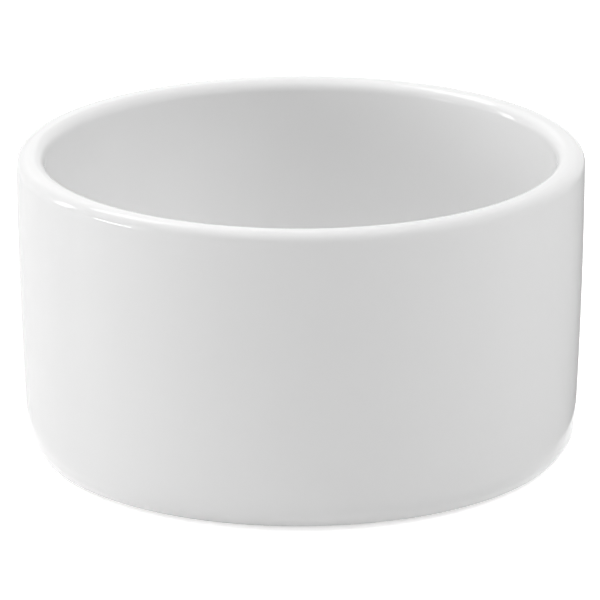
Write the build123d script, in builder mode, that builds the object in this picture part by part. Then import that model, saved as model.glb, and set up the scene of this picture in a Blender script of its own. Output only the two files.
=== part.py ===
from build123d import *
import os

# Straight-walled ramekin of white porcelain: one fired clay body and the glaze fused to it.
# Lengths are in millimetres. +Z is up, and the origin is the centre of the plane the foot stands on.
# Body and glaze are turned from half sections that are drawn as radius and height.

# Outside form, measured over the glaze
rim_diameter = 90.0
base_diameter = 87.5
height = 48.5
wall_barrel = 0.32
base_corner_radius = 4.55

# Inside form, measured over the glaze
rim_wall = 4.4
base_wall = 4.8
inside_corner_radius = 6.3

# Rim, measured over the glaze
rim_outer_radius = 1.24
rim_inner_radius = 2.0

# Floor, foot ring and the recess inside the ring, measured on the bare clay
floor_thickness = 4.0
foot_ring_width = 3.0
recess_depth = 1.5
recess_slope_run = 1.2
recess_edge_radius = 0.5
recess_corner_radius = 0.8

# Glaze: its thickness, how much of the recess depth the foot is wiped dry, and its rolled edge
glaze_thickness = 0.3
wiped_share = 0.4
rolled_edge_share = 1.6

# The rim's roundings take at most these shares of the bare wall between them
outer_rounding_share = 0.4
inner_rounding_share = 0.55

# The bare clay lies one glaze thickness inside every glazed surface
rim_radius = rim_diameter / 2 - glaze_thickness
base_radius = base_diameter / 2 - glaze_thickness
clay_height = height - glaze_thickness
inner_rim_radius = rim_diameter / 2 - rim_wall + glaze_thickness
inner_floor_radius = base_diameter / 2 - base_wall + glaze_thickness
floor_height = recess_depth + floor_thickness
clay_corner_radius = base_corner_radius - glaze_thickness
clay_inside_radius = inside_corner_radius + glaze_thickness

# The foot ring's flat ends where the base corner begins
foot_outer_radius = base_radius - clay_corner_radius
foot_inner_radius = foot_outer_radius - foot_ring_width
recess_radius = foot_inner_radius - recess_slope_run

# Rim roundings on the bare clay
bare_rim_wall = rim_radius - inner_rim_radius
clay_rim_outer_radius = min(rim_outer_radius - glaze_thickness, bare_rim_wall * outer_rounding_share)
clay_rim_inner_radius = min(rim_inner_radius - glaze_thickness, bare_rim_wall * inner_rounding_share)

# The film of glaze ends in a rolled edge where the foot was wiped
glaze_line_height = recess_depth * wiped_share
rolled_edge_radius = glaze_thickness * rolled_edge_share

# Corners of the clay's half section, before they are rounded
recess_centre = (0, recess_depth)
recess_corner = (recess_radius, recess_depth)
foot_inner_edge = (foot_inner_radius, 0)
base_corner = (base_radius, 0)
rim_outer_corner = (rim_radius, clay_height)
rim_inner_corner = (inner_rim_radius, clay_height)
inside_corner = (inner_floor_radius, floor_height)
floor_centre = (0, floor_height)


def round_corner(corner, radius):
    """Rounds the corner of the open section that lies nearest to a point."""
    fillet(vertices().sort_by_distance(corner)[0], radius=radius)


# Clay section: up the axis, over the floor and the rim, down the barrelled wall, and under the foot
with BuildSketch(Plane.XZ) as clay_section:
    with BuildLine():
        Polyline(recess_centre, floor_centre, inside_corner, rim_inner_corner, rim_outer_corner)
        SagittaArc(rim_outer_corner, base_corner, wall_barrel)
        Polyline(base_corner, foot_inner_edge, recess_corner, recess_centre)
    make_face()
    round_corner(recess_corner, recess_corner_radius)
    round_corner(foot_inner_edge, recess_edge_radius)
    round_corner(base_corner, clay_corner_radius)
    round_corner(rim_outer_corner, clay_rim_outer_radius)
    round_corner(rim_inner_corner, clay_rim_inner_radius)
    round_corner(inside_corner, clay_inside_radius)

# Glaze section: the clay's outline grown by the film, cut off level above the wiped foot.
# The film's free corners at that line, innermost and outermost, are drawn round by its melt.
with BuildSketch(Plane.XZ) as glaze_section:
    offset(clay_section.sketch_local, amount=glaze_thickness, kind=Kind.ARC)
    add(clay_section.sketch_local, mode=Mode.SUBTRACT)
    with Locations((0, glaze_line_height)):
        Rectangle(rim_diameter, height, align=(Align.MIN, Align.MIN), mode=Mode.INTERSECT)
    line_corners = vertices().group_by(Axis.Y)[0].sort_by(Axis.X)
    fillet((line_corners[0], line_corners[-1]), radius=rolled_edge_radius)

recess_film, coat_film = glaze_section.sketch.faces().sort_by(Axis.Z)

with BuildPart() as clay_body:
    add(clay_section.sketch)
    revolve(axis=Axis.Z)
clay_body.part.label = "clay_body"

with BuildPart() as glaze_coat:
    add(coat_film)
    revolve(axis=Axis.Z)
glaze_coat.part.label = "glaze_coat"

with BuildPart() as recess_glaze:
    add(recess_film)
    revolve(axis=Axis.Z)
recess_glaze.part.label = "recess_glaze"

os.makedirs("parts", exist_ok=True)
export_step(clay_body.part, "parts/clay_body.step")
export_step(glaze_coat.part, "parts/glaze_coat.step")
export_step(recess_glaze.part, "parts/recess_glaze.step")
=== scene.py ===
"""A white porcelain ramekin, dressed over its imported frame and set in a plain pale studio.

The clay body is the frame's own, with a biscuit finish on its bare foot. The glaze is drawn anew as a
film over the clay, with the faults that firing leaves in it. Lengths are in metres.
"""

import logging
import math
from collections.abc import Mapping, Sequence
from dataclasses import dataclass
from enum import Enum

import bpy
import numpy as np
from mathutils import Matrix, Vector, noise

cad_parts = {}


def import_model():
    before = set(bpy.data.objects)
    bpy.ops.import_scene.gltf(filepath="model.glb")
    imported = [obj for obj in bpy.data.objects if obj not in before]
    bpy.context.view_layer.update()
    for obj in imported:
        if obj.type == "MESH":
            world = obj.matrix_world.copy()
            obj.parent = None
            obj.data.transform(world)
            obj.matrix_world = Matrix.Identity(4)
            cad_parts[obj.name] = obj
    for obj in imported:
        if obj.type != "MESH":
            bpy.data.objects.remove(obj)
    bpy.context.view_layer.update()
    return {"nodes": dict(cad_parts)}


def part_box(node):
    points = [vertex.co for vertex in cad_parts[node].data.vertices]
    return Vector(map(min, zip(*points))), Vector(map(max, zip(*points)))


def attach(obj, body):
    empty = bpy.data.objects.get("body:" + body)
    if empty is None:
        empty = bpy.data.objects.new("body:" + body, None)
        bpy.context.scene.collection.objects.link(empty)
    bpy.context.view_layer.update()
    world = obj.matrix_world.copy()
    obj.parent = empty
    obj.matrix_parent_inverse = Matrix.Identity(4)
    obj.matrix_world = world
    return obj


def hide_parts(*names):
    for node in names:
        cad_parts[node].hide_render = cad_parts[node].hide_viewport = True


MM = 0.001
LOG = logging.getLogger("ramekin")


class Wire:
    """A socket that carries a value, so that shader maths reads as plain arithmetic."""

    def __init__(self, graph: "Graph", socket: bpy.types.NodeSocket) -> None:
        """Wraps one output socket.

        Args:
            graph: The node graph that the socket belongs to.
            socket: The output socket.
        """
        self.graph = graph
        self.socket = socket

    def other(self, name: str) -> "Wire":
        """Another output of the same node."""
        return Wire(self.graph, self.socket.node.outputs[name])

    def _math(self, operation: str, first: "Wire | float", second: "Wire | float") -> "Wire":
        """Adds one Math node.

        Args:
            operation: The node's operation.
            first: Its first value.
            second: Its second value.

        Returns:
            The node's result.
        """
        return self.graph.add("ShaderNodeMath", {"operation": operation}, {0: first, 1: second})

    def __add__(self, value: "Wire | float") -> "Wire":
        """This value plus another."""
        return self._math("ADD", self, value)

    def __radd__(self, value: "Wire | float") -> "Wire":
        """Another value plus this one."""
        return self._math("ADD", value, self)

    def __sub__(self, value: "Wire | float") -> "Wire":
        """This value less another."""
        return self._math("SUBTRACT", self, value)

    def __rsub__(self, value: "Wire | float") -> "Wire":
        """Another value less this one."""
        return self._math("SUBTRACT", value, self)

    def __mul__(self, value: "Wire | float") -> "Wire":
        """This value times another."""
        return self._math("MULTIPLY", self, value)

    def __rmul__(self, value: "Wire | float") -> "Wire":
        """Another value times this one."""
        return self._math("MULTIPLY", value, self)


class Graph:
    """The node tree of one material or world."""

    def __init__(self, tree: bpy.types.NodeTree) -> None:
        """Empties a node tree, to fill it anew.

        Args:
            tree: The tree of a material or a world.
        """
        self.tree = tree
        tree.nodes.clear()

    def add(
        self,
        kind: str,
        settings: Mapping[str, object] | None = None,
        values: Mapping[str | int, object] | None = None,
        give: str | int = 0,
    ) -> Wire:
        """Adds a node of any type.

        Args:
            kind: The node's type.
            settings: The node's own properties. The stops of a ramp are a list of place and grey.
            values: A number, colour or wire for each input socket, by name or place.
            give: The output that is wanted.

        Returns:
            That output.
        """
        node = self.tree.nodes.new(kind)
        for name, value in (settings or {}).items():
            if name == "stops":
                self._set_stops(node.color_ramp, value)
            else:
                setattr(node, name, value)
        for name, value in (values or {}).items():
            if isinstance(value, Wire):
                self.tree.links.new(value.socket, node.inputs[name])
            else:
                node.inputs[name].default_value = value
        return Wire(self, node.outputs[give])

    @staticmethod
    def _set_stops(ramp: bpy.types.ColorRamp, stops: Sequence[tuple[float, float]]) -> None:
        """Gives a ramp its stops.

        Args:
            ramp: The ramp, which starts with two stops.
            stops: The place and the grey of each stop, in order.
        """
        while len(ramp.elements) < len(stops):
            ramp.elements.new(1.0)
        for element, (place, grey) in zip(ramp.elements, stops):
            element.position = place
            element.color = (grey, grey, grey, 1.0)

    def noise(self, place: Wire, size: float, detail: float) -> Wire:
        """Soft noise with features of a real size.

        Args:
            place: The coordinates.
            size: The size of a feature.
            detail: How many finer layers it has.

        Returns:
            The noise, from 0 to 1.
        """
        return self.add("ShaderNodeTexNoise", None, {"Vector": place, "Scale": 1 / size, "Detail": detail})

    def bump(self, height: Wire, depth: float, below: Wire | None = None) -> Wire:
        """Raises the surface by a height map.

        Args:
            height: The height, from 0 to 1.
            depth: The real height of a full step.
            below: The normal that it is laid over, if there is one.

        Returns:
            The normal.
        """
        values = {"Strength": 1.0, "Distance": depth, "Height": height}
        if below is not None:
            values["Normal"] = below
        return self.add("ShaderNodeBump", None, values)

    def end(self, kind: str, values: Mapping[str | int, object]) -> None:
        """Adds the output node of a material or world.

        Args:
            kind: The output node's type.
            values: The wires that it takes.
        """
        node = self.tree.nodes.new(kind)
        for name, wire in values.items():
            self.tree.links.new(wire.socket, node.inputs[name])


def grey(value: float) -> tuple[float, float, float, float]:
    """A neutral colour."""
    return (value, value, value, 1.0)


def new_material(name: str) -> tuple[bpy.types.Material, Graph]:
    """Makes an empty node material.

    Args:
        name: The material's name.

    Returns:
        The material and its graph.
    """
    material = bpy.data.materials.new(name)
    material.use_nodes = True
    return material, Graph(material.node_tree)


@dataclass(frozen=True)
class GlazeFinish:
    """Clear gloss glaze on a white body: nearly even, with a faint drift of tone and a rippled skin."""

    tone: float = 0.86
    tone_drift: float = 0.012
    cloud_size: float = 14 * MM
    cloud_detail: float = 3.0
    roughness: float = 0.045
    roughness_drift: float = 0.04
    blot_size: float = 3.5 * MM
    blot_detail: float = 2.0
    refraction: float = 1.5
    skin_detail: float = 1.0
    ripple_size: float = 5 * MM
    ripple_height: float = 0.004 * MM
    peel_size: float = 1.3 * MM
    peel_height: float = 0.0006 * MM

    def material(self) -> bpy.types.Material:
        """The finish as a node material."""
        material, graph = new_material("porcelain_glaze")
        place = graph.add("ShaderNodeTexCoord", give="Object")
        clouds = graph.noise(place, self.cloud_size, self.cloud_detail)
        blots = graph.noise(place, self.blot_size, self.blot_detail)
        shade = self.tone - self.tone_drift / 2 + self.tone_drift * clouds
        colour = graph.add("ShaderNodeCombineColor", None, {"Red": shade, "Green": shade, "Blue": shade})
        ripples = graph.noise(place, self.ripple_size, self.skin_detail)
        peel = graph.noise(place, self.peel_size, self.skin_detail)
        skin = graph.bump(peel, self.peel_height, graph.bump(ripples, self.ripple_height))
        shader = graph.add("ShaderNodeBsdfPrincipled", None, {
            "Base Color": colour,
            "Roughness": self.roughness + self.roughness_drift * blots,
            "IOR": self.refraction,
            "Normal": skin,
        })
        graph.end("ShaderNodeOutputMaterial", {"Surface": shader})
        return material


@dataclass(frozen=True)
class BiscuitFinish:
    """Bare fired clay on the foot ring: matt, fine-grained, a little darker where it has been rubbed."""

    tone: float = 0.78
    blue_share: float = 0.97
    roughness: float = 0.78
    roughness_drift: float = 0.15
    grain_size: float = 0.35 * MM
    grain_detail: float = 4.0
    grain_depth: float = 0.1
    grain_height: float = 0.02 * MM
    rub_size: float = 9 * MM
    rub_detail: float = 2.0
    rub_edge: tuple[float, float] = (0.5, 0.75)
    rub_darkening: float = 0.08

    def material(self) -> bpy.types.Material:
        """The finish as a node material."""
        material, graph = new_material("bare_biscuit")
        place = graph.add("ShaderNodeTexCoord", give="Object")
        grain = graph.noise(place, self.grain_size, self.grain_detail)
        rubbed = graph.noise(place, self.rub_size, self.rub_detail)
        kept, worn = self.rub_edge
        rub_mask = graph.add("ShaderNodeValToRGB", {"stops": [(kept, 0.0), (worn, 1.0)]}, {"Fac": rubbed})
        shade = self.tone - self.grain_depth / 2 + self.grain_depth * grain - self.rub_darkening * rub_mask
        green_share = (1 + self.blue_share) / 2
        colour = graph.add("ShaderNodeCombineColor", None, {
            "Red": shade, "Green": shade * green_share, "Blue": shade * self.blue_share,
        })
        shader = graph.add("ShaderNodeBsdfPrincipled", None, {
            "Base Color": colour,
            "Roughness": self.roughness + self.roughness_drift * grain,
            "Normal": graph.bump(grain, self.grain_height),
        })
        graph.end("ShaderNodeOutputMaterial", {"Surface": shader})
        return material


@dataclass(frozen=True)
class Corner:
    """A corner of the half section: its distance from the axis, its height and its rounding."""

    radius: float
    height: float
    rounding: float = 0.0

    @property
    def point(self) -> np.ndarray:
        """The corner as a radius and height pair."""
        return np.array([self.radius, self.height])


class Contour:
    """A smooth line in the half section, with its outward normals, read by the length along it."""

    STEP = 0.04 * MM
    FEWEST_ARC_POINTS = 3

    def __init__(self, corners: Sequence[Corner]) -> None:
        """Runs straight between the corners and rounds each of them with an arc.

        Args:
            corners: The corners in order, with the solid on the right of the line.
        """
        stretches = [corners[0].point[None, :]]
        for before, corner, after in zip(corners, corners[1:], corners[2:]):
            stretches.append(self._arc(before, corner, after))
        stretches.append(corners[-1].point[None, :])
        self._take(self._filled(np.concatenate(stretches)))

    @staticmethod
    def _arc(before: Corner, corner: Corner, after: Corner) -> np.ndarray:
        """The rounding of one corner.

        Args:
            before: The corner before it.
            corner: The corner to round.
            after: The corner after it.

        Returns:
            Points along its arc.
        """
        back = before.point - corner.point
        ahead = after.point - corner.point
        back /= np.linalg.norm(back)
        ahead /= np.linalg.norm(ahead)
        half = math.acos(float(np.clip(back @ ahead, -1, 1))) / 2
        bisector = (back + ahead) / np.linalg.norm(back + ahead)
        centre = corner.point + bisector * corner.rounding / math.sin(half)
        start = corner.point + back * corner.rounding / math.tan(half) - centre
        turn = math.pi - 2 * half
        side = math.copysign(1.0, start[1] * back[0] - start[0] * back[1])
        count = max(Contour.FEWEST_ARC_POINTS, math.ceil(turn * corner.rounding / Contour.STEP))
        angles = side * np.linspace(0, turn, count)
        cosines, sines = np.cos(angles), np.sin(angles)
        spokes = [start[0] * cosines - start[1] * sines, start[0] * sines + start[1] * cosines]
        return centre + np.stack(spokes, axis=1)

    @staticmethod
    def _filled(points: np.ndarray) -> np.ndarray:
        """Adds points along the long straight runs, so that the line is even.

        Args:
            points: Points in order.

        Returns:
            The same line at about one step between points.
        """
        along = np.concatenate([[0], np.cumsum(np.linalg.norm(np.diff(points, axis=0), axis=1))])
        even = np.linspace(0, along[-1], math.ceil(along[-1] / Contour.STEP))
        return np.stack([np.interp(even, along, column) for column in points.T], axis=1)

    def _take(self, points: np.ndarray) -> None:
        """Keeps a line of points, with its lengths and normals.

        Args:
            points: Points in order.
        """
        self.points = points
        self.along = np.concatenate([[0], np.cumsum(np.linalg.norm(np.diff(points, axis=0), axis=1))])
        heading = np.gradient(points, self.along, axis=0)
        normals = np.stack([-heading[:, 1], heading[:, 0]], axis=1)
        self.normals = normals / np.linalg.norm(normals, axis=1)[:, None]

    def swell(self, amount: float, low: float, high: float, first: float, last: float) -> None:
        """Barrels the stretch between two lengths by a shallow bow outwards.

        Args:
            amount: The bow's height at its middle.
            low: The height where the bow starts.
            high: The height where it ends.
            first: The length where the stretch starts.
            last: The length where it ends.
        """
        share = np.clip((self.points[:, 1] - low) / (high - low), 0, 1)
        bow = 4 * share * (1 - share)
        on = (self.along >= first) & (self.along <= last)
        points = self.points.copy()
        points[:, 0] += np.where(on, amount * bow, 0)
        self._take(points)

    def at(self, lengths: np.ndarray) -> tuple[np.ndarray, np.ndarray, np.ndarray, np.ndarray]:
        """Reads the line.

        Args:
            lengths: Lengths along it, of any shape.

        Returns:
            Radius, height, and the two parts of the outward normal, each of that shape.
        """
        return tuple(
            np.interp(lengths, self.along, column)
            for column in (*self.points.T, *self.normals.T)
        )

    @property
    def length(self) -> float:
        """The whole length of the line."""
        return float(self.along[-1])

    def length_at_height(self, height: float) -> float:
        """Looks back from the line's end for the place where it passes a height.

        Args:
            height: The height.

        Returns:
            The length along the line there.
        """
        heights = self.points[:, 1]
        index = len(heights) - 1
        while heights[index] < height:
            index -= 1
        return float(self.along[index])


@dataclass(frozen=True)
class DishForm:
    """Sizes of the dish over its glaze. The first five are read from the frame.

    The rim's two roundings are those of the film's free side, which the light shows.
    """

    rim_radius: float
    height: float
    glaze: float
    line_height: float
    recess_depth: float
    base_radius: float = 43.75 * MM
    barrel: float = 0.32 * MM
    base_corner: float = 4.55 * MM
    rim_wall: float = 4.4 * MM
    base_wall: float = 4.8 * MM
    inside_corner: float = 6.3 * MM
    rim_outer: float = 1.6 * MM
    rim_inner: float = 1.8 * MM
    floor_thickness: float = 4.0 * MM
    foot_ring: float = 3.0 * MM
    recess_slope: float = 1.2 * MM
    recess_corner: float = 0.8 * MM

    @classmethod
    def from_frame(cls) -> "DishForm":
        """Reads the sizes that the frame holds.

        Returns:
            The form, with its other sizes as they stand here.
        """
        coat_low, coat_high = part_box("glaze_coat")
        clay_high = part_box("clay_body")[1]
        recess_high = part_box("recess_glaze")[1]
        return cls(
            rim_radius=coat_high.x,
            height=coat_high.z,
            glaze=coat_high.z - clay_high.z,
            line_height=coat_low.z,
            recess_depth=recess_high.z,
        )

    def coat_line(self) -> Contour:
        """The line under the glaze coat, from the floor's centre over the rim and down to the foot."""
        glaze = self.glaze
        floor = self.recess_depth + self.floor_thickness
        top = self.height - glaze
        rim = Corner(self.rim_radius - glaze, top, self.rim_outer - glaze)
        base = Corner(self.base_radius - glaze, 0, self.base_corner - glaze)
        line = Contour([
            Corner(0, floor),
            Corner(self.base_radius - self.base_wall + glaze, floor, self.inside_corner + glaze),
            Corner(self.rim_radius - self.rim_wall + glaze, top, self.rim_inner - glaze),
            rim,
            base,
            Corner(base.radius - base.rounding, 0),
        ])
        crest = float(line.along[np.argmax(line.points[:, 0])]) - self.rim_outer
        line.swell(self.barrel, 0, top, crest, line.length)
        return line

    def recess_line(self) -> Contour:
        """The line under the recess glaze, from the centre of the recess out and down its slope."""
        foot_inner = self.base_radius - self.base_corner - self.foot_ring
        return Contour([
            Corner(0, self.recess_depth),
            Corner(foot_inner - self.recess_slope, self.recess_depth, self.recess_corner),
            Corner(foot_inner, 0),
        ])


@dataclass(frozen=True)
class FiringFaults:
    """How far firing leaves the film from an even coat: out of round, wavy, pooled and ragged."""

    oval: float = 0.035 * MM
    oval_turn: float = 0.9
    wave: float = 0.012 * MM
    wave_size: float = 11 * MM
    pool: float = 0.05 * MM
    pool_width: float = 0.8 * MM
    pool_steepness: float = 2.0
    edge_width: float = 0.42 * MM
    waver: float = 0.16 * MM
    waver_seed: int = 7
    waver_orders: tuple[int, ...] = (2, 3, 5, 8, 13, 21)
    waver_fade: float = 0.6
    waver_reach: float = 4 * MM


class Turned(Enum):
    """Which side of the clay a film lies on."""

    COAT = "glaze_coat"
    RECESS = "recess_glaze"


@dataclass
class GlazeFilm:
    """A closed film of glaze over the clay that ends in a rolled edge at the wiped foot.

    A stretch of its line that turns by more than the bend, in radians per metre, is a rounding. The jump
    of the angle at half a turn is far above the greatest bend.
    """

    side: Turned
    line: Contour
    form: DishForm
    faults: FiringFaults
    finish: bpy.types.Material
    around: int = 288
    ring_step: float = 1.1 * MM
    arc_step: float = 0.33 * MM
    edge_rings: int = 9
    bend: float = 50.0
    greatest_bend: float = 1e5
    bend_margin: int = 15

    def build(self) -> bpy.types.Object:
        """Makes the film's mesh, dresses it and puts it in the node's place.

        Returns:
            The piece.
        """
        end = self.line.length_at_height(self.form.line_height)
        lengths = self._ring_lengths(end)
        turns = np.linspace(0, 2 * math.pi, self.around, endpoint=False)
        outer = self._skin(lengths, turns, end, lifted=True)
        under = self._skin(lengths[::-1], turns, end, lifted=False)
        rings = np.concatenate([outer, under[1:]])
        mesh = bpy.data.meshes.new(self.side.value)
        mesh.from_pydata(*self._closed(rings))
        mesh.validate()
        for polygon in mesh.polygons:
            polygon.use_smooth = True
        mesh.materials.append(self.finish)
        piece = bpy.data.objects.new(f"{self.side.value}_film", mesh)
        bpy.context.scene.collection.objects.link(piece)
        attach(piece, "root")
        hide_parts(self.side.value)
        LOG.info("%s: %d faces", piece.name, len(mesh.polygons))
        return piece

    def _ring_lengths(self, end: float) -> np.ndarray:
        """Where the rings lie: close together on the roundings and at the rolled edge.

        Args:
            end: The length where the film ends.

        Returns:
            Lengths along the line, the first on the axis.
        """
        normals = self.line.normals
        turning = np.abs(np.gradient(np.arctan2(normals[:, 1], normals[:, 0]), self.line.along))
        bent = (turning > self.bend) & (turning < self.greatest_bend)
        near_bend = np.convolve(bent, np.ones(self.bend_margin) / self.bend_margin, mode="same") > 0
        density = np.where(near_bend, 1 / self.arc_step, 1 / self.ring_step)
        count_along = np.cumsum(density * np.gradient(self.line.along))
        body_end = end - self.faults.edge_width
        last = float(np.interp(body_end, self.line.along, count_along))
        body = np.interp(np.linspace(0, last, math.ceil(last)), count_along, self.line.along)
        edge = body_end + self.faults.edge_width * np.sin(np.linspace(0, math.pi / 2, self.edge_rings))
        body[0] = 0.0
        return np.concatenate([body[:-1], edge])

    def _skin(self, lengths: np.ndarray, turns: np.ndarray, end: float, lifted: bool) -> np.ndarray:
        """One side of the film.

        Args:
            lengths: Where its rings lie along the line.
            turns: The angles round the axis.
            end: The length where the film ends.
            lifted: Whether it is the free side, which stands off the clay by the film's thickness.

        Returns:
            Points by ring and angle.
        """
        near_end = np.clip(1 - (end - lengths) / self.faults.waver_reach, 0, 1) ** 2
        shifted = lengths[:, None] + near_end[:, None] * self._waver(turns)[None, :]
        radius, height, out, up = self.line.at(shifted)
        if lifted:
            free_side = -1 if self.side is Turned.RECESS else 1
            thick = free_side * self._thickness(lengths, turns, end, radius, height)
            radius = radius + out * thick
            height = height + up * thick
        radius = np.where(lengths[:, None] == 0, 0, radius)
        return np.stack([radius * np.cos(turns), radius * np.sin(turns), height], axis=2)

    def _waver(self, turns: np.ndarray) -> np.ndarray:
        """How far the wiped line strays along the clay, round the foot.

        Args:
            turns: The angles round the axis.

        Returns:
            The length that it strays at each angle.
        """
        faults = self.faults
        random = np.random.default_rng(faults.waver_seed + len(self.side.value))
        waver = np.zeros_like(turns)
        for order in faults.waver_orders:
            waver += np.cos(order * turns + random.uniform(0, 2 * math.pi)) / order**faults.waver_fade
        return faults.waver * waver / np.abs(waver).max()

    def _thickness(
        self, lengths: np.ndarray, turns: np.ndarray, end: float, radius: np.ndarray, height: np.ndarray
    ) -> np.ndarray:
        """The film's thickness, with the oval and waves that firing leaves and the pool above its edge.

        Args:
            lengths: Where its rings lie along the line.
            turns: The angles round the axis.
            end: The length where the film ends.
            radius: The clay's radius at each point.
            height: The clay's height at each point.

        Returns:
            The thickness at each point.
        """
        faults = self.faults
        rise = np.clip(height / self.form.height, 0, 1) ** 2
        oval = -faults.oval * rise * (1 - np.cos(2 * turns - faults.oval_turn)) / 2
        waves = np.array([
            [noise.noise(Vector((r * c, r * s, h)) / faults.wave_size) for r, h, c, s in
             zip(ring_r, ring_h, np.cos(turns), np.sin(turns))]
            for ring_r, ring_h in zip(radius, height)
        ])
        to_edge = np.clip((end - lengths) / faults.edge_width, 0, 1)
        roll = np.sqrt(1 - (1 - to_edge) ** 2)
        from_pool = (end - lengths) / faults.pool_width - 1
        pool = faults.pool * np.exp(-(from_pool**2) * faults.pool_steepness)
        full = self.form.glaze + oval + faults.wave * (waves - 1) + pool[:, None]
        return full * roll[:, None]

    def _closed(self, rings: np.ndarray) -> tuple[list, list, list]:
        """Joins rings into a closed mesh whose first and last rings are points on the axis.

        Args:
            rings: Points by ring and angle.

        Returns:
            Vertices, no edges, and faces.
        """
        around = self.around
        points = rings[1:-1].reshape(-1, 3)
        top, bottom, last = len(points), len(points) + 1, len(points) - around
        vertices = [*map(tuple, points), tuple(rings[0, 0]), tuple(rings[-1, 0])]
        faces = []
        for turn in range(around):
            following = (turn + 1) % around
            faces.append((top, turn, following))
            faces.append((bottom, last + following, last + turn))
        for ring in range(len(rings) - 3):
            this, other = ring * around, (ring + 1) * around
            for turn in range(around):
                following = (turn + 1) % around
                faces.append((this + turn, other + turn, other + following, this + following))
        if self.side is Turned.RECESS:
            faces = [tuple(reversed(face)) for face in faces]
        return vertices, [], faces


@dataclass
class Dish:
    """The whole ramekin: the frame's clay body and the two films of glaze that are fused to it."""

    form: DishForm
    faults: FiringFaults

    def build(self, nodes: Mapping[str, bpy.types.Object]) -> None:
        """Dresses the clay body and lays the glaze over it.

        Args:
            nodes: The frame's nodes by name.
        """
        clay = nodes["clay_body"]
        clay.data.materials.clear()
        clay.data.materials.append(BiscuitFinish().material())
        LOG.info("%s: the frame's own, with a biscuit finish", clay.name)
        glaze = GlazeFinish().material()
        GlazeFilm(Turned.COAT, self.form.coat_line(), self.form, self.faults, glaze).build()
        GlazeFilm(Turned.RECESS, self.form.recess_line(), self.form, self.faults, glaze).build()


@dataclass(frozen=True)
class Lamp:
    """A soft box that faces the dish: where it stands, how large it is and how bright its cloth is.

    Its azimuth and elevation are in degrees from the dish, and azimuth 0 is the camera's side. The glaze
    shows no reflection of a fill lamp, and a glint lamp shows in its gloss alone.
    """

    name: str
    azimuth: float
    elevation: float
    distance: float
    width: float
    height: float
    radiance: float
    fill: bool = False
    glint: bool = False

    def build(self, target: Vector) -> bpy.types.Object:
        """Hangs the lamp.

        Args:
            target: The point that it faces.

        Returns:
            The lamp.
        """
        light = bpy.data.lights.new(self.name, "AREA")
        light.shape = "RECTANGLE"
        light.size = self.width
        light.size_y = self.height
        light.energy = self.radiance * math.pi * self.width * self.height
        lamp = bpy.data.objects.new(self.name, light)
        lamp.visible_glossy = not self.fill
        lamp.visible_diffuse = not self.glint
        turn, rise = math.radians(self.azimuth), math.radians(self.elevation)
        away = Vector((math.sin(turn) * math.cos(rise), -math.cos(turn) * math.cos(rise), math.sin(rise)))
        lamp.location = target + away * self.distance
        lamp.rotation_euler = away.to_track_quat("Z", "Y").to_euler()
        bpy.context.scene.collection.objects.link(lamp)
        return lamp


@dataclass(frozen=True)
class PaintedReflection:
    """A bent sheet beside the dish, pale at both ends and greyer between them, that only the gloss shows:
    a painted reflection.

    It paints the edge of a white wall against a white ground, with painted shade where it greys and
    painted light where it is paler than the white round it. It starts, reaches its full shade, leaves it
    and ends at four azimuths in degrees, and 0 is the camera's side.
    """

    name: str
    start: float
    shade_start: float
    shade_end: float
    end: float
    pale: float
    dark: float
    radius: float = 50 * MM
    height: float = 46 * MM
    strips: int = 36

    def build(self) -> bpy.types.Object:
        """Stands the sheet of painted reflection on the floor.

        Returns:
            The sheet.
        """
        turns = np.radians(np.linspace(self.start, self.end, self.strips + 1))
        foot = [(self.radius * math.sin(turn), -self.radius * math.cos(turn), 0) for turn in turns]
        head = [(x, y, self.height) for x, y, _ in foot]
        above = len(foot)
        faces = [(strip, strip + 1, above + strip + 1, above + strip) for strip in range(self.strips)]
        mesh = bpy.data.meshes.new(self.name)
        mesh.from_pydata(foot + head, [], faces)
        mesh.materials.append(self._painted_tone())
        reflection_sheet = bpy.data.objects.new(self.name, mesh)
        # Hidden from the camera, from diffuse light and from shadows, the sheet shows only in the glaze as
        # a painted reflection.
        reflection_sheet.visible_camera = False
        reflection_sheet.visible_diffuse = False
        reflection_sheet.visible_shadow = False
        bpy.context.scene.collection.objects.link(reflection_sheet)
        return reflection_sheet

    def _painted_tone(self) -> bpy.types.Material:
        """Its painted reflected tone, which greys evenly from the start, keeps the shade and pales evenly
        to the end.

        Returns:
            The painted reflection as a glowing material that lights nothing.
        """
        material, graph = new_material(self.name)
        place = graph.add("ShaderNodeTexCoord", give="Object")
        across = graph.add("ShaderNodeSeparateXYZ", None, {"Vector": place}, "X")
        along = graph.add("ShaderNodeSeparateXYZ", None, {"Vector": place}, "Y")
        turn = graph.add("ShaderNodeMath", {"operation": "ARCTAN2"}, {0: across, 1: 0 - along})
        greying, paling = (
            graph.add("ShaderNodeMapRange", None, {
                "Value": turn, "From Min": math.radians(outside), "From Max": math.radians(inside),
                "To Min": self.pale, "To Max": self.dark,
            })
            for outside, inside in ((self.start, self.shade_start), (self.end, self.shade_end))
        )
        shade = graph.add("ShaderNodeMath", {"operation": "MAXIMUM"}, {0: greying, 1: paling})
        # The glow is the painted reflection's shade and light.
        glow = graph.add("ShaderNodeEmission", None, {"Color": grey(1.0), "Strength": shade})
        graph.end("ShaderNodeOutputMaterial", {"Surface": glow})
        material.cycles.emission_sampling = "NONE"
        return material


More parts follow.
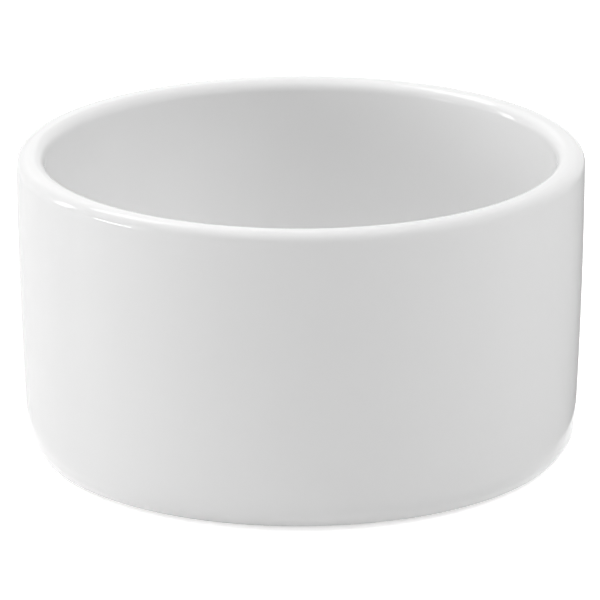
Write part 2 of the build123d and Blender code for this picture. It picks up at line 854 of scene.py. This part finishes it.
@dataclass
class Studio:
    """Camera, lamps, floor and surroundings, none of which is part of the dish. Angles are in degrees."""

    dish: DishForm
    camera_distance: float = 855 * MM
    camera_elevation: float = 17.95
    camera_roll: float = -0.14
    aim_aside: float = -0.145 * MM
    aim_height: float = 23.5 * MM
    focal_pixels: float = 5357.8
    frame_pixels: float = 600.0
    sensor: float = 36.0
    clip_shares: tuple[float, float] = (0.1, 20.0)
    floor_tone: float = 0.88
    floor_lift: float = 0.6
    floor_reach: float = 3.0
    surroundings: float = 0.12
    bounces: int = 12
    # Painted reflections: the right one paints shade into the right edge of the wall, and the left one
    # paints a lighter left edge.
    painted_reflections: tuple[PaintedReflection, ...] = (
        PaintedReflection("right_painted_reflection", 58, 97, 114, 158, 1.25, 0.45),
        PaintedReflection("left_painted_reflection", -58, -97, -114, -158, 1.2, 1.0),
    )
    lamps: tuple[Lamp, ...] = (
        Lamp("left_rear", -108, 12, 4.0, 0.6, 1.6, 4.4),
        Lamp("left_front_fill", -79, 10, 1.0, 0.25, 0.34, 4.0, fill=True),
        Lamp("left_front_low", -75, 0, 0.4, 0.127, 0.043, 11.0, glint=True),
        Lamp("left_front_faint", -68, 9, 2.0, 0.4, 0.35, 2.4, glint=True),
        Lamp("left_back_high", -142, 54, 1.0, 0.5, 0.3, 2.5),
        Lamp("back_left", -160.6, 31.5, 0.494, 0.32, 0.237, 0.3),
        Lamp("overhead", 0, 82, 1.0, 1.1, 0.8, 0.35),
        Lamp("overhead_fill", 0, 82, 1.3, 1.43, 1.04, 1.34, fill=True),
        Lamp("left_fill", -86, 7, 1.2, 1.2, 0.25, 2.5, fill=True),
        Lamp("left_high_fill", -100, 40, 1.2, 0.9, 0.5, 1.55, fill=True),
        Lamp("right_high_fill", 90, 43, 1.0, 0.5, 0.4, 5.2, fill=True),
        Lamp("front_fill", 0, 40, 1.4, 1.2, 0.5, 1.2, fill=True),
    )

    def build(self) -> None:
        """Sets up everything round the dish."""
        self._camera()
        self._floor()
        self._world()
        target = Vector((0, 0, self.dish.height / 2))
        for lamp in self.lamps:
            lamp.build(target)
            LOG.info("lamp %s", lamp.name)
        for reflection_sheet in self.painted_reflections:
            reflection_sheet.build()
            LOG.info("card %s", reflection_sheet.name)
        paths = bpy.context.scene.cycles
        paths.max_bounces = paths.diffuse_bounces = paths.glossy_bounces = self.bounces
        bpy.context.scene.view_settings.view_transform = "Standard"

    def _camera(self) -> None:
        """Puts the camera where the photograph was taken from."""
        camera = bpy.data.cameras.new("camera")
        camera.sensor_fit = "HORIZONTAL"
        camera.sensor_width = self.sensor
        camera.lens = self.focal_pixels * self.sensor / self.frame_pixels
        camera.clip_start, camera.clip_end = (self.camera_distance * share for share in self.clip_shares)
        rise = math.radians(self.camera_elevation)
        away = Vector((0, -math.cos(rise), math.sin(rise)))
        aim = Vector((self.aim_aside, 0, self.aim_height))
        turned = away.to_track_quat("Z", "Y").to_matrix().to_4x4()
        rolled = Matrix.Rotation(math.radians(self.camera_roll), 4, "Z")
        viewer = bpy.data.objects.new("camera", camera)
        viewer.matrix_world = Matrix.Translation(aim + away * self.camera_distance) @ turned @ rolled
        bpy.context.scene.collection.objects.link(viewer)
        bpy.context.scene.camera = viewer

    def _seen(self, graph: Graph) -> Wire:
        """Tells the rays that show the surroundings themselves from those that carry their light.

        Args:
            graph: The graph of a material or the world.

        Returns:
            1 for a ray straight from the camera, mirrored or refracted, and 0 for any other.
        """
        camera = graph.add("ShaderNodeLightPath", give="Is Camera Ray")
        return camera + camera.other("Is Glossy Ray") + camera.other("Is Transmission Ray")

    def _floor(self) -> None:
        """Lays a plain pale floor that keeps the dish's shadow."""
        reach = self.floor_reach
        mesh = bpy.data.meshes.new("floor")
        corners = [(-reach, -reach, 0), (reach, -reach, 0), (reach, reach, 0), (-reach, reach, 0)]
        mesh.from_pydata(corners, [], [(0, 1, 2, 3)])
        material, graph = new_material("pale_floor")
        paint = graph.add("ShaderNodeBsdfDiffuse", None, {"Color": grey(self.floor_tone)})
        lift = graph.add("ShaderNodeEmission", None, {
            "Color": grey(1.0), "Strength": self.floor_lift * self._seen(graph),
        })
        both = graph.add("ShaderNodeAddShader", None, {0: paint, 1: lift})
        graph.end("ShaderNodeOutputMaterial", {"Surface": both})
        material.cycles.emission_sampling = "NONE"
        mesh.materials.append(material)
        floor = bpy.data.objects.new("floor", mesh)
        bpy.context.scene.collection.objects.link(floor)

    def _world(self) -> None:
        """Surrounds the studio with white, which lights the dish far less than it shows."""
        world = bpy.data.worlds.new("surroundings")
        world.use_nodes = True
        bpy.context.scene.world = world
        graph = Graph(world.node_tree)
        seen = self._seen(graph)
        glow = graph.add("ShaderNodeBackground", None, {
            "Color": grey(1.0), "Strength": seen + (1 - seen) * self.surroundings,
        })
        graph.end("ShaderNodeOutputWorld", {"Surface": glow})


def main() -> None:
    """Loads the frame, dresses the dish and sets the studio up."""
    logging.basicConfig(level=logging.INFO, format="%(name)s: %(message)s")
    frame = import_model()
    form = DishForm.from_frame()
    Dish(form, FiringFaults()).build(frame["nodes"])
    Studio(form).build()


if __name__ == "__main__":
    main()
